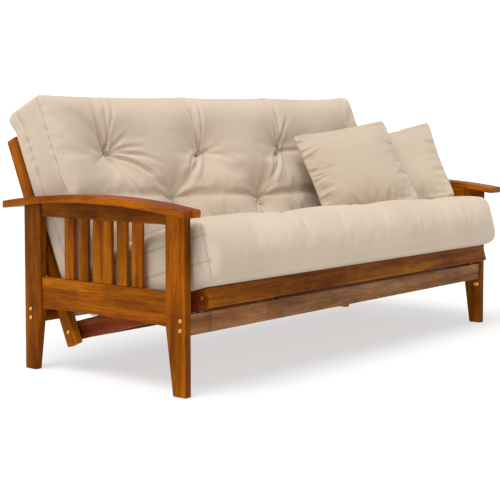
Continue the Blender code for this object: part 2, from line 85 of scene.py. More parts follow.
# The fold that joins the lower tufts: where it runs (across, along), its depth, and how much more at a tuft.
FOLD_LINE = (
    (-0.956, 0.310),
    (-0.690, 0.318),
    (-0.424, 0.294),
    (-0.160, 0.296),
    (0.098, 0.274),
    (0.340, 0.282),
    (0.575, 0.262),
    (0.770, 0.272),
    (0.956, 0.272),
)
FOLD_DEPTH = 0.007
FOLD_DEPTH_AT_TUFT = 0.028
FOLD_TUFTS = ("lower_1", "lower_2", "lower_3")
KNOT_RADIUS = 0.006
THREAD_LENGTH = 0.016
THREAD_TURNS = (0.6, 2.4, 4.4)
TUFT_WIDTH = 0.045
PIT_WIDTH = 0.013
PIT_EASE = 0.36
DEEPEST_CREASE = 0.017
# Each tuft's place (across, along) and depth.
TUFTS = {
    "upper_1": (-0.707, 0.491, 0.058),
    "upper_2": (-0.186, 0.488, 0.058),
    "upper_3": (0.336, 0.490, 0.058),
    "upper_4": (0.850, 0.490, 0.058),
    "lower_1": (-0.424, 0.294, 0.058),
    "lower_2": (0.098, 0.274, 0.058),
    "lower_3": (0.575, 0.262, 0.058),
    "fold_1": (-0.700, 0.085, 0.050),
    "fold_2": (-0.180, 0.085, 0.050),
    "fold_3": (0.330, 0.085, 0.050),
    "fold_4": (0.840, 0.085, 0.050),
    "inner_1": (-0.430, -0.100, 0.050),
    "inner_2": (0.080, -0.100, 0.050),
    "inner_3": (0.590, -0.100, 0.050),
    "middle_1": (-0.700, -0.285, 0.055),
    "middle_2": (-0.180, -0.285, 0.055),
    "middle_3": (0.330, -0.285, 0.055),
    "middle_4": (0.840, -0.285, 0.055),
    "front_1": (-0.430, -0.450, 0.020),
    "front_2": (0.080, -0.450, 0.020),
    "front_3": (0.590, -0.450, 0.020),
}
# Creases that run out from a tuft: heading in degrees (90 is up the back), length, depth, width, bend.
CREASES = {
    "upper_1": (
        (97, 0.21, 0.015, 0.009, 0.012),
        (82, 0.23, 0.010, 0.007, -0.004),
        (68, 0.24, 0.008, 0.007, 0.008),
        (118, 0.12, 0.009, 0.012, 0.0),
        (33, 0.14, 0.009, 0.008, 0.0),
        (2, 0.17, 0.009, 0.008, 0.01),
        (-17, 0.26, 0.009, 0.008, 0.02),
        (-36, 0.30, 0.011, 0.009, 0.02),
        (-62, 0.22, 0.009, 0.008, -0.01),
        (-150, 0.12, 0.004, 0.010, 0.0),
        (168, 0.10, 0.004, 0.010, 0.0),
    ),
    "upper_2": (
        (95, 0.23, 0.015, 0.009, 0.012),
        (80, 0.25, 0.010, 0.007, -0.006),
        (-145, 0.27, 0.013, 0.012, 0.012),
        (-134, 0.24, 0.009, 0.010, -0.035),
        (9, 0.12, 0.006, 0.009, 0.0),
        (-25, 0.24, 0.005, 0.012, 0.02),
        (-60, 0.13, 0.004, 0.010, 0.0),
        (167, 0.09, 0.005, 0.010, 0.0),
        (120, 0.12, 0.004, 0.010, 0.0),
    ),
    "upper_3": (
        (98, 0.24, 0.015, 0.009, 0.010),
        (82, 0.22, 0.009, 0.007, 0.0),
        (58, 0.17, 0.010, 0.008, 0.01),
        (-8, 0.16, 0.006, 0.010, 0.0),
        (-141, 0.29, 0.013, 0.011, 0.015),
        (-130, 0.24, 0.009, 0.010, -0.03),
        (-75, 0.15, 0.005, 0.011, 0.01),
        (146, 0.10, 0.005, 0.010, 0.0),
    ),
    "upper_4": (
        (88, 0.22, 0.010, 0.010, 0.01),
        (118, 0.16, 0.006, 0.009, 0.0),
        (175, 0.15, 0.006, 0.010, 0.0),
        (-140, 0.28, 0.010, 0.012, 0.015),
        (-80, 0.14, 0.005, 0.010, 0.0),
    ),
    "lower_1": (
        (172, 0.20, 0.008, 0.010, -0.010),
        (125, 0.13, 0.006, 0.011, 0.0),
        (71, 0.16, 0.007, 0.018, 0.0),
        (30, 0.16, 0.008, 0.010, 0.01),
        (4, 0.24, 0.008, 0.010, 0.008),
        (-72, 0.08, 0.007, 0.008, 0.0),
        (-95, 0.10, 0.009, 0.008, 0.0),
        (-120, 0.08, 0.006, 0.008, 0.0),
    ),
    "lower_2": (
        (174, 0.22, 0.008, 0.010, -0.008),
        (134, 0.10, 0.006, 0.010, 0.0),
        (66, 0.18, 0.007, 0.018, 0.0),
        (30, 0.14, 0.006, 0.010, 0.0),
        (3, 0.22, 0.008, 0.010, 0.008),
        (-74, 0.09, 0.009, 0.008, 0.0),
        (-100, 0.10, 0.008, 0.008, 0.0),
        (-135, 0.09, 0.008, 0.008, 0.0),
    ),
    "lower_3": (
        (172, 0.22, 0.008, 0.010, -0.008),
        (140, 0.12, 0.007, 0.010, 0.0),
        (61, 0.14, 0.007, 0.012, 0.0),
        (-70, 0.09, 0.008, 0.008, 0.0),
        (-110, 0.09, 0.008, 0.008, 0.0),
    ),
}
# Loose creases: from, to (across, along), depth, width.
LOOSE_CREASES = (
    ((0.140, 0.700), (0.165, 0.590), 0.006, 0.007),
    ((0.175, 0.690), (0.190, 0.620), 0.004, 0.007),
    ((-0.020, 0.705), (0.000, 0.640), 0.003, 0.008),
    ((-0.400, 0.700), (-0.385, 0.640), 0.003, 0.008),
    ((0.560, 0.705), (0.570, 0.630), 0.003, 0.008),
)
# Faint upright puckers down the seat's front: across, height above the underside from and to, depth.
FRONT_PUCKERS = (
    (-0.815, 0.060, 0.120, 0.002),
    (-0.560, 0.120, 0.175, 0.002),
    (-0.330, 0.030, 0.090, 0.002),
    (-0.165, 0.050, 0.150, 0.004),
    (-0.120, 0.120, 0.185, 0.002),
    (0.110, 0.090, 0.160, 0.002),
    (0.330, 0.050, 0.120, 0.002),
    (0.520, 0.110, 0.175, 0.003),
    (0.690, 0.090, 0.150, 0.003),
    (0.830, 0.130, 0.190, 0.003),
)

# Frames that each simulation runs for.
MATTRESS_FRAMES = 22
PILLOW_FRAMES = 24

PILLOW_SIDE = 0.455
PILLOW_THICK = 0.150
PILLOW_CELLS = 34
PILLOW_SEAM = 0.012
PILLOW_BOW = 0.045
CORNER_PULL = 0.035
# Puckers along each pillow edge: axis across the edge, side, height. One edge is gathered most.
PILLOW_PUCKERS = ((0, -1, 0.0060), (1, -1, 0.0035), (0, 1, 0.0022), (1, 1, 0.0014))
PUCKER_WAVES = ((0.052, 0.6), (0.031, 0.5), (0.019, 0.25))

# The floor's profile from the middle out: (radius, height). Its glow rises towards the wall far away.
FLOOR_PROFILE = ((0.0, 0.0), (10.0, 0.0), (30.0, 0.0), (38.0, 1.0), (40.0, 3.0), (40.0, 8.5))
FLOOR_TONE = (0.36, 0.36, 0.36, 1.0)
FLOOR_GLOW = (0.56, 0.95)
SKY_TONE = (1.0, 0.985, 0.965, 1.0)
SKY_STRENGTH = 0.50
KEY_TOWARDS = (-0.38, -0.06, 0.92)
KEY_STRENGTH = 3.1
KEY_WIDTH = 40.0

CAMERA_PLACE = (-3.7505, -2.9785, 0.8647)
CAMERA_DIP = 0.0608
CAMERA_HEADING = 0.6906
CAMERA_LENS = 84.03
CAMERA_SHIFT_Y = -0.0937


# ---------------------------------------------------------------- shader helpers
def new_material(name):
    material = bpy.data.materials.new(name)
    material.use_nodes = True
    tree = material.node_tree
    shader = tree.nodes["Principled BSDF"]
    return material, tree, shader


def node(tree, kind, **values):
    """A node with its settings, and its inputs by index (i0=...) or by name."""
    made = tree.nodes.new("ShaderNode" + kind)
    for key, value in values.items():
        if key.startswith("i") and key[1:].isdigit():
            socket = made.inputs[int(key[1:])]
        elif hasattr(made, key):
            setattr(made, key, value)
            continue
        else:
            socket = made.inputs[key.replace("_", " ")]
        if isinstance(value, bpy.types.NodeSocket):
            tree.links.new(value, socket)
        else:
            socket.default_value = value
    return made


def mix(tree, kind, factor, first, second):
    made = tree.nodes.new("ShaderNodeMix")
    made.data_type = "RGBA"
    made.blend_type = kind
    for index, value in ((0, factor), (6, first), (7, second)):
        if isinstance(value, bpy.types.NodeSocket):
            tree.links.new(value, made.inputs[index])
        else:
            made.inputs[index].default_value = value
    return made.outputs[2]


def maths(tree, operation, first, second=0.0, clamp=False):
    made = tree.nodes.new("ShaderNodeMath")
    made.operation = operation
    made.use_clamp = clamp
    for index, value in enumerate((first, second)):
        if isinstance(value, bpy.types.NodeSocket):
            tree.links.new(value, made.inputs[index])
        else:
            made.inputs[index].default_value = value
    return made.outputs[0]


def spread(tree, value, low, high, to_low, to_high):
    made = node(tree, "MapRange", i0=value, i1=low, i2=high, i3=to_low, i4=to_high)
    return made.outputs[0]


def rgb(colour, share=1.0):
    return tuple(channel * share for channel in colour) + (1.0,)


# ---------------------------------------------------------------- wood
GRAIN_TURNS = {
    "x": (0.0, 0.0, 0.0),
    "y": (0.0, 0.0, math.radians(90)),
    "z": (0.0, math.radians(90), 0.0),
    "seat": (SEAT_TILT, 0.0, math.radians(90)),
    "back": (BACK_LEAN, math.radians(90), 0.0),
}
WOODS = {
    "honey": ((0.400, 0.122, 0.0020), (0.290, 0.074, 0.0010), (0.160, 0.034, 0.0005)),
    "rail": ((0.270, 0.088, 0.0030), (0.180, 0.049, 0.0012), (0.095, 0.021, 0.0006)),
    "red_brown": ((0.300, 0.066, 0.016), (0.215, 0.040, 0.009), (0.120, 0.018, 0.003)),
    "pinkish": ((0.370, 0.180, 0.080), (0.265, 0.115, 0.044), (0.170, 0.064, 0.018)),
    # Near-black tones, painted shade for the seat stop strip in the shadow band under the front rail.
    "dark": ((0.085, 0.026, 0.008), (0.055, 0.016, 0.005), (0.028, 0.008, 0.002)),
}
TONES = {
    "apron_left": 0.72,
    "lower_rail_left": 0.88,
    "leg_rear_left": 0.66,
    "leg_front_right": 0.62,
    "arm_slat_left_2": 0.90,
    "arm_slat_left_4": 0.82,
    "back_side_board_left": 0.95,
}


def facing(tree, axis):
    """The surface's direction along one axis."""
    normal = node(tree, "NewGeometry").outputs["Normal"]
    return node(tree, "SeparateXYZ", Vector=normal).outputs[axis]


def wood(name, tones, grain, seed, sheen_top_tones=None, gloss=0.36, share_of_tone=1.0):
    """Stained, jointed boards: tone by board length, drifting figure, short pores and a satin lacquer.
    The tones for faces that point up paint the lacquer's sheen on them, and the front legs' front faces are
    darkened as painted shade."""
    material, tree, shader = new_material(name)
    light, mid, dark = tones
    place = node(tree, "TexCoord").outputs["Object"]
    offset = (seed * 1.37 % 7.0, seed * 2.11 % 5.0, seed * 3.73 % 3.0)
    turned = node(tree, "Mapping", Vector=place, Rotation=GRAIN_TURNS[grain])
    shifted = node(tree, "Mapping", Vector=turned.outputs[0], Location=offset).outputs[0]
    long = node(tree, "Mapping", Vector=shifted, Scale=(1.3, 21.0, 21.0)).outputs[0]
    figure = node(tree, "TexNoise", Vector=long, Scale=1.3, Detail=5.0, Roughness=0.60, Distortion=0.5)
    blotch_place = node(tree, "Mapping", Vector=shifted, Scale=(1.0, 2.2, 2.2)).outputs[0]
    blotch = node(tree, "TexNoise", Vector=blotch_place, Scale=7.0, Detail=3.0, Roughness=0.55)
    pore_place = node(tree, "Mapping", Vector=shifted, Scale=(16.0, 330.0, 330.0)).outputs[0]
    pores = node(tree, "TexNoise", Vector=pore_place, Scale=1.0, Detail=2.0, Roughness=0.5)
    apart = node(tree, "SeparateXYZ", Vector=shifted).outputs[0]
    joints = node(tree, "TexVoronoi", voronoi_dimensions="1D", W=apart, Scale=3.4, Randomness=0.8)
    board = node(tree, "SeparateColor", Color=joints.outputs["Color"]).outputs[0]
    low = spread(tree, figure.outputs[0], 0.30, 0.52, 0.0, 1.0)
    high = spread(tree, figure.outputs[0], 0.48, 0.72, 0.0, 1.0)
    colour = mix(tree, "MIX", low, rgb(dark), rgb(mid))
    colour = mix(tree, "MIX", high, colour, rgb(light))
    # Painted sheen: faces that point up swap to the reddish tones of the lacquer's sheen.
    if sheen_top_tones:
        painted_sheen = mix(tree, "MIX", low, rgb(sheen_top_tones[2]), rgb(sheen_top_tones[1]))
        painted_sheen = mix(tree, "MIX", high, painted_sheen, rgb(sheen_top_tones[0]))
        share = spread(tree, facing(tree, 2), 0.55, 0.85, 0.0, 1.0)
        colour = mix(tree, "MIX", share, colour, painted_sheen)
    darkest, lightest = 0.76 * share_of_tone, 1.24 * share_of_tone
    tone = spread(tree, blotch.outputs[0], 0.30, 0.70, darkest, lightest)
    plank = spread(tree, board, 0.0, 1.0, 0.86, 1.14)
    tone = maths(tree, "MULTIPLY", tone, plank)
    # Painted shade: the front legs' faces that point to the front are darkened, as if the light came from the
    # left.
    if name.startswith("wood_leg_front"):
        tone = maths(tree, "MULTIPLY", tone, spread(tree, facing(tree, 1), -0.9, -0.6, 0.55, 1.0))
    fleck = spread(tree, pores.outputs[0], 0.34, 0.47, 0.62, 1.0)
    tone = maths(tree, "MULTIPLY", tone, fleck)
    grey = node(tree, "CombineColor", i0=tone, i1=tone, i2=tone).outputs[0]
    colour = mix(tree, "MULTIPLY", 1.0, colour, grey)
    tree.links.new(colour, shader.inputs["Base Color"])
    rough = spread(tree, blotch.outputs[0], 0.3, 0.7, gloss - 0.06, gloss + 0.10)
    tree.links.new(rough, shader.inputs["Roughness"])
    relief = maths(tree, "ADD", maths(tree, "MULTIPLY", fleck, 0.7), figure.outputs[0])
    bump = node(tree, "Bump", Strength=0.30, Distance=0.0006, Height=relief)
    tree.links.new(bump.outputs[0], shader.inputs["Normal"])
    shader.inputs["Specular IOR Level"].default_value = 0.035
    return material


# ---------------------------------------------------------------- fabric, metal, plastic
def cloth(name, colour, mottle=0.05, seams=False):
    """Brushed cotton twill. Its threads run with the cut, so they lie on the piece's UV map, in metres."""
    material, tree, shader = new_material(name)
    uv = node(tree, "UVMap", uv_map="UVMap").outputs[0]
    solid = node(tree, "TexCoord").outputs["Object"]
    broad = node(tree, "TexNoise", Vector=solid, Scale=3.2, Detail=3.0, Roughness=0.55)
    lint = node(tree, "TexNoise", Vector=solid, Scale=160.0, Detail=3.0, Roughness=0.65)
    slub_place = node(tree, "Mapping", Vector=uv, Scale=(30.0, 900.0, 1.0)).outputs[0]
    slub = node(tree, "TexNoise", Vector=slub_place, Scale=1.0, Detail=2.0)
    twill = node(tree, "TexWave", wave_type="BANDS", bands_direction="DIAGONAL", Vector=uv, Scale=130.0)
    twill.inputs["Distortion"].default_value = 1.2
    twill.inputs["Detail"].default_value = 1.0
    tone = spread(tree, broad.outputs[0], 0.3, 0.7, 1.0 - mottle, 1.0 + mottle)
    fine = spread(tree, lint.outputs[0], 0.3, 0.7, 0.965, 1.03)
    thread = spread(tree, slub.outputs[0], 0.3, 0.7, 0.97, 1.03)
    tone = maths(tree, "MULTIPLY", maths(tree, "MULTIPLY", tone, fine), thread)
    if seams:
        sewn = node(tree, "Attribute", attribute_name="seam").outputs["Fac"]
        tone = maths(tree, "MULTIPLY", tone, spread(tree, sewn, 0.0, 1.0, 1.0, 0.80))
    grey = node(tree, "CombineColor", i0=tone, i1=tone, i2=tone).outputs[0]
    base = mix(tree, "MULTIPLY", 1.0, rgb(colour), grey)
    tree.links.new(base, shader.inputs["Base Color"])
    weave = maths(tree, "ADD", maths(tree, "MULTIPLY", twill.outputs[1], 0.55), lint.outputs[0])
    bump = node(tree, "Bump", Strength=0.22, Distance=0.0006, Height=weave)
    tree.links.new(bump.outputs[0], shader.inputs["Normal"])
    shader.inputs["Roughness"].default_value = 0.88
    shader.inputs["Specular IOR Level"].default_value = 0.16
    shader.inputs["Sheen Weight"].default_value = 0.10
    shader.inputs["Sheen Roughness"].default_value = 0.45
    return material


def simple(name, colour, rough, metallic, grain_scale, amount):
    """Metal or moulded plastic, with fine wear in its roughness and relief."""
    material, tree, shader = new_material(name)
    place = node(tree, "TexCoord").outputs["Object"]
    wear = node(tree, "TexNoise", Vector=place, Scale=grain_scale, Detail=4.0, Roughness=0.6)
    tone = spread(tree, wear.outputs[0], 0.3, 0.7, 1.0 - amount, 1.0 + amount)
    grey = node(tree, "CombineColor", i0=tone, i1=tone, i2=tone).outputs[0]
    tree.links.new(mix(tree, "MULTIPLY", 1.0, rgb(colour), grey), shader.inputs["Base Color"])
    worn = spread(tree, wear.outputs[0], 0.3, 0.7, rough - 0.08, rough + 0.10)
    tree.links.new(worn, shader.inputs["Roughness"])
    bump = node(tree, "Bump", Strength=0.15, Distance=0.0003, Height=wear.outputs[0])
    tree.links.new(bump.outputs[0], shader.inputs["Normal"])
    shader.inputs["Metallic"].default_value = metallic
    return material


BRASS = simple("aged_brass", (0.62, 0.36, 0.11), 0.34, 1.0, 420.0, 0.18)
DARK_NYLON = simple("dark_nylon", (0.050, 0.042, 0.036), 0.5, 0.0, 300.0, 0.06)
NYLON = simple("nylon", (0.62, 0.58, 0.50), 0.42, 0.0, 300.0, 0.06)
MATTRESS_CLOTH = cloth("beige_twill", (0.545, 0.444, 0.345), 0.05, True)
TUFT_THREAD = cloth("tuft_thread", (0.66, 0.58, 0.46), 0.08)
PILLOW_CLOTH = cloth("beige_twill_pillow", (0.470, 0.382, 0.292), 0.03)


def finish_for(name):
    """(tones, grain direction, tones of the painted sheen on upward faces) of a wooden CAD node."""
    if name.startswith("armrest"):
        # The armrest's top takes red-brown tones as painted sheen.
        return "honey", "y", "red_brown"
    if name.startswith(("apron", "lower_rail")):
        return "honey", "y", None
    if name.startswith(("leg_rear", "leg_front", "arm_slat")):
        return "honey", "z", None
    if name == "front_stretcher":
        return "pinkish", "x", None
    if name == "rear_stretcher":
        return "rail", "x", None
    # Painted shade: the seat stop strip takes the near-black tones of the shadow under the front rail.
    if name == "seat_stop_strip":
        return "dark", "x", None
    if name.startswith("seat_side_board"):
        return "red_brown", "seat", None
    if name.startswith("back_side_board"):
        return "honey", "back", None
    if name in ("seat_front_rail", "seat_rear_rail", "back_top_rail", "back_bottom_rail"):
        return "rail", "x", None
    if name == "seat_slats":
        return "rail", "seat", None
    return "rail", "back", None


def dress_frame():
    for index, name in enumerate(sorted(NODES)):
        obj = NODES[name]
        if name.startswith(("mattress", "pillow")):
            continue
        if "bolt" in name or "cap" in name:
            material = BRASS
        elif name.startswith("roller"):
            material = NYLON
        elif name.startswith("seat_saddle"):
            material = DARK_NYLON
        else:
            tones, grain, painted_sheen = finish_for(name)
            top = WOODS[painted_sheen] if painted_sheen else None
            share = TONES.get(name, 1.0)
            material = wood("wood_" + name, WOODS[tones], grain, index + 1.0, top, share_of_tone=share)
        obj.data.materials.clear()
        obj.data.materials.append(material)


# ---------------------------------------------------------------- meshes and simulation
def smooth(t):
    t = np.clip(t, 0.0, 1.0)
    return t * t * (3.0 - 2.0 * t)


def coords(mesh):
    flat = np.zeros(len(mesh.vertices) * 3, np.float32)
    mesh.vertices.foreach_get("co", flat)
    return flat.reshape(-1, 3).astype(float)


def set_coords(mesh, points):
    mesh.vertices.foreach_set("co", points.astype(np.float32).ravel())
    mesh.update()


def link(name, mesh, material):
    obj = bpy.data.objects.new(name, mesh)
    bpy.context.scene.collection.objects.link(obj)
    obj.data.materials.append(material)
    return obj


def box_grid(name, xs, ys, zs):
    """A closed box of quads with rows at these places, and a UV map in metres."""
    last = (len(xs) - 1, len(ys) - 1, len(zs) - 1)
    index = {}
    points = []

    def corner(i, j, k):
        if (i, j, k) not in index:
            index[(i, j, k)] = len(points)
            points.append((xs[i], ys[j], zs[k]))
        return index[(i, j, k)]

    faces = []
    uvs = []

    def face(corners, along):
        faces.append([corner(*c) for c in corners])
        for c in corners:
            spot = (xs[c[0]], ys[c[1]], zs[c[2]])
            uvs.append((spot[along[0]] + 3.0, spot[along[1]] + 3.0))

    for i in range(last[0]):
        for j in range(last[1]):
            face([(i, j, 0), (i, j + 1, 0), (i + 1, j + 1, 0), (i + 1, j, 0)], (0, 1))
            top = last[2]
            face([(i, j, top), (i + 1, j, top), (i + 1, j + 1, top), (i, j + 1, top)], (0, 1))
        for k in range(last[2]):
            face([(i, 0, k), (i + 1, 0, k), (i + 1, 0, k + 1), (i, 0, k + 1)], (0, 2))
            far = last[1]
            face([(i, far, k), (i, far, k + 1), (i + 1, far, k + 1), (i + 1, far, k)], (0, 2))
    for j in range(last[1]):
        for k in range(last[2]):
            face([(0, j, k), (0, j, k + 1), (0, j + 1, k + 1), (0, j + 1, k)], (1, 2))
            far = last[0]
            face([(far, j, k), (far, j + 1, k), (far, j + 1, k + 1), (far, j, k + 1)], (1, 2))
    mesh = bpy.data.meshes.new(name)
    mesh.from_pydata(points, [], faces)
    layer = mesh.uv_layers.new(name="UVMap")
    layer.data.foreach_set("uv", np.array(uvs, np.float32).ravel())
    mesh.shade_smooth()
    mesh.update()
    return mesh


def round_box(points, low, high, radii):
    """Rounds a box's edges: each radius is how far the rounding reaches along that axis."""
    middle = (low + high) / 2
    half = (high - low) / 2
    away = points - middle
    out = np.clip(np.abs(away) - (half - radii), 0.0, None) / radii
    length = np.linalg.norm(out, axis=1)
    scaled = out / np.maximum(length, 1e-9)[:, None]
    moved = np.where(out > 0, half - radii + radii * scaled, np.abs(away))
    return middle + np.sign(away) * moved


def simulate(obj, start, pinned, frames, pressure, mass=0.15, bending=0.3, shrink=0.0, stiff=20.0):
    """Runs Blender's cloth from the places in start, at rest in the mesh's own. Returns the settled places."""
    obj.shape_key_add(name="Basis")
    key = obj.shape_key_add(name="start")
    key.data.foreach_set("co", start.astype(np.float32).ravel())
    key.value = 1.0
    modifier = obj.modifiers.new("Cloth", "CLOTH")
    settings = modifier.settings
    if len(pinned):
        group = obj.vertex_groups.new(name="pinned")
        group.add([int(i) for i in pinned], 1.0, "REPLACE")
        settings.vertex_group_mass = "pinned"
    settings.rest_shape_key = obj.data.shape_keys.key_blocks["Basis"]
    settings.quality = 5
    settings.mass = mass
    settings.tension_stiffness = stiff
    settings.compression_stiffness = stiff
    settings.shear_stiffness = stiff * 0.4
    settings.bending_stiffness = bending
    settings.tension_damping = 12.0
    settings.compression_damping = 12.0
    settings.air_damping = 3.0
    settings.shrink_min = shrink
    settings.use_pressure = True
    settings.uniform_pressure_force = pressure
    settings.effector_weights.gravity = 0.0
    modifier.collision_settings.use_collision = False
    modifier.collision_settings.use_self_collision = False
    modifier.point_cache.frame_start = 1
    modifier.point_cache.frame_end = frames
    scene = bpy.context.scene
    for number in range(1, frames + 1):
        scene.frame_set(number)
    evaluated = obj.evaluated_get(bpy.context.evaluated_depsgraph_get())
    settled = coords(evaluated.to_mesh())
    evaluated.to_mesh_clear()
    scene.frame_set(1)
    obj.modifiers.clear()
    obj.shape_key_clear()
    obj.vertex_groups.clear()
    return settled


def subdivide(obj, levels):
    modifier = obj.modifiers.new("Subdivision", "SUBSURF")
    modifier.levels = levels
    modifier.render_levels = levels
    evaluated = obj.evaluated_get(bpy.context.evaluated_depsgraph_get())
    mesh = bpy.data.meshes.new_from_object(evaluated)
    obj.modifiers.clear()
    obj.data = mesh
    mesh.shade_smooth()


# ---------------------------------------------------------------- mattress
def top_height(along):
    crown = 0.009 * smooth((-0.20 - along) / 0.22)
    return SEAT_TOP + crown + (BACK_TOP - SEAT_TOP) * smooth((along + 0.12) / 0.24)


def to_rest(points):
    """Folds the flat mattress at the crease. The share of the fold that a point takes is the one that
    the frame's blend will give it back, so that opening the fold returns the flat shape."""
    x, along, up = points.T
    low = np.zeros(len(points))
    high = np.ones(len(points))
    # Turned by half the fold, the bisecting plane is along == 0.
    for _ in range(40):
        share = (low + high) / 2
        turn = (share - 0.5) * FOLD
        through = along * np.cos(turn) - up * np.sin(turn)
        wanted = smooth((through + BLEND_BAND) / (2 * BLEND_BAND))
        rising = wanted > share
        low = np.where(rising, share, low)
        high = np.where(rising, high, share)
    share = (low + high) / 2
    # The seat half tips down towards the back.
    turn = FOLD * share - SEAT_TILT
    y = along * np.cos(turn) - up * np.sin(turn)
    z = along * np.sin(turn) + up * np.cos(turn)
    return np.stack([x, FOLD_POINT[1] + y, FOLD_POINT[2] + z], axis=1)


def mattress_rows():
    count_x = round(2 * MATTRESS_HALF_X / CELL)
    count_s = round((BACK_END - SEAT_END) / CELL)
    xs = np.linspace(-MATTRESS_HALF_X, MATTRESS_HALF_X, count_x + 1)
    ys = np.linspace(SEAT_END, BACK_END, count_s + 1)
    corner_rows = CORNER_SEAM + np.array([-0.006, 0.0, 0.006])
    ys = np.concatenate([[SEAT_END], corner_rows, ys[3:]])
    below = [0.0, 0.022, 0.044, 0.060, 0.066, 0.072, 0.090, 0.108]
    above = [0.126, 0.144, 0.160, 0.166, 0.172, 0.185, 0.1995]
    return xs, ys, BOTTOM + np.array(below + above)


def numbers(mesh, name):
    """A vector attribute of the mesh's points, as an array."""
    flat = np.zeros(len(mesh.vertices) * 3, np.float32)
    mesh.attributes[name].data.foreach_get("vector", flat)
    return flat.reshape(-1, 3).astype(float)


def keep_cut(mesh):
    """Keeps each point's place in the uncreased, square cut, which subdividing then carries along."""
    attribute = mesh.attributes.new("cut", "FLOAT_VECTOR", "POINT")
    attribute.data.foreach_set("vector", coords(mesh).astype(np.float32).ravel())


def refine(obj, wanted):
    """Splits the quads among the wanted points once more."""
    shape = bmesh.new()
    shape.from_mesh(obj.data)
    shape.verts.ensure_lookup_table()
    edges = [edge for edge in shape.edges if wanted[edge.verts[0].index] and wanted[edge.verts[1].index]]
    bmesh.ops.subdivide_edges(shape, edges=edges, cuts=1, use_grid_fill=True)
    shape.to_mesh(obj.data)
    shape.free()
    obj.data.update()


def crease_depth(points, line, depth, width, fade=0.8):
    """How far each 2-D point sinks beside this line: a sharp valley with a soft ridge on either side."""
    sunk = np.zeros(len(points))
    past_low = np.all(points > line.min(0) - 6 * width, axis=1)
    past_high = np.all(points < line.max(0) + 6 * width, axis=1)
    near = past_low & past_high
    chosen = points[near]
    best = np.full(len(chosen), 9.0)
    side = np.zeros(len(chosen))
    share = np.zeros(len(chosen))
    for number in range(len(line) - 1):
        step = line[number + 1] - line[number]
        away = chosen - line[number]
        t = np.clip(away @ step / (step @ step), 0.0, 1.0)
        gap = away - t[:, None] * step
        distance = np.linalg.norm(gap, axis=1)
        closer = distance < best
        best = np.where(closer, distance, best)
        turn = step[0] * away[:, 1] - step[1] * away[:, 0]
        side = np.where(closer, np.sign(turn) * distance, side)
        share = np.where(closer, (number + t) / (len(line) - 1), share)
    spread_here = width * (0.7 + 0.6 * share)
    valley = np.exp(-((side / spread_here) ** 2))
    ridge = 0.50 * np.exp(-(((side - 1.9 * spread_here) / (1.2 * spread_here)) ** 2))
    ridge += 0.30 * np.exp(-(((side + 2.1 * spread_here) / (1.4 * spread_here)) ** 2))
    strength = (1 - share) ** fade * smooth(share * 14 + 0.25)
    sunk[near] = depth * strength * (valley - ridge)
    return sunk


def bent_line(start, heading, length, bend):
    """A curve from start, bowed sideways by bend at its middle."""
    turn = math.radians(heading)
    along = np.array([math.cos(turn), math.sin(turn)])
    aside = np.array([-along[1], along[0]])
    steps = np.linspace(0.0, 1.0, 9)[:, None]
    return np.array(start) + along * length * steps + aside * bend * 4 * steps * (1 - steps)


def tuft_creases(flat, on_top):
    """How far each point sinks into the creases on the top, which meet at the tufts."""
    sunk = np.zeros(len(flat))
    for name, creases in CREASES.items():
        for heading, length, depth, width, bend in creases:
            line = bent_line(TUFTS[name][:2], heading, length, bend)
            sunk += on_top * crease_depth(flat, line, depth, width)
    for begin, end, depth, width in LOOSE_CREASES:
        line = np.linspace(begin, end, 5)
        sunk += on_top * crease_depth(flat, line, depth, width, 0.5)
    rng = np.random.default_rng(7)
    for name, place in TUFTS.items():
        if name in CREASES:
            continue
        for heading in np.arange(0, 360, 45) + rng.uniform(-16, 16, 8):
            line = bent_line(place[:2], heading, rng.uniform(0.09, 0.2), rng.uniform(-0.015, 0.015))
            sunk += on_top * crease_depth(flat, line, rng.uniform(0.004, 0.010), 0.011)
    return np.where(sunk > 0, DEEPEST_CREASE * np.tanh(sunk / DEEPEST_CREASE), sunk)


def front_puckers(points):
    """How far each point sinks into the upright puckers of the seat's front."""
    sunk = np.zeros(len(points))
    front = points[:, [0, 2]]
    on_front = smooth((SEAT_END + 0.06 - points[:, 1]) / 0.04)
    for x, low, high, depth in FRONT_PUCKERS:
        middle = (low + high) / 2
        line = BOTTOM * np.array([0.0, 1.0]) + np.array([(x, low), (x + 0.006, middle), (x + 0.002, high)])
        sunk += on_front * crease_depth(front, line, depth, 0.010, 0.4)
    return sunk


def border_seams(cut):
    """The border's seams round both side panels: how much of a seam each point is, and how far it sinks
    into the seam and into the small puckers that sewing leaves beside it."""
    at_side = smooth((np.abs(cut[:, 0]) - MATTRESS_HALF_X + 0.008) / 0.008)
    seam = np.zeros(len(cut))
    near_seam = np.zeros(len(cut))
    for height in SEAM_HEIGHTS:
        gap = cut[:, 2] - BOTTOM - height
        seam = np.maximum(seam, at_side * np.exp(-((gap / SEAM_WIDTH) ** 2)))
        near_seam = np.maximum(near_seam, np.exp(-((gap / PUCKER_WIDTH) ** 2)))
    for along in (CORNER_SEAM, BACK_END):
        corner = np.exp(-(((cut[:, 1] - along) / CORNER_SEAM_WIDTH) ** 2))
        seam = np.maximum(seam, at_side * corner)
    wave = np.sin(cut[:, 1] * 105 + 3.0 * np.sin(cut[:, 1] * 23))
    return seam, SEAM_DEPTH * seam + PUCKER_DEPTH * wave * at_side * near_seam


def add_creases(obj):
    """Sinks the creases, puckers and seams into the mattress, and stores where the seams are."""
    mesh = obj.data
    cut = numbers(mesh, "cut")
    points = coords(mesh)
    normals = np.zeros(len(points) * 3, np.float32)
    mesh.vertices.foreach_get("normal", normals)
    on_top = smooth((cut[:, 2] - 0.075) / 0.02)
    seam, into_seam = border_seams(cut)
    sunk = tuft_creases(points[:, :2], on_top) + front_puckers(points) + into_seam
    set_coords(mesh, points - normals.reshape(-1, 3) * sunk[:, None])
    shade = mesh.attributes.new("seam", "FLOAT", "POINT")
    shade.data.foreach_set("value", seam.astype(np.float32))


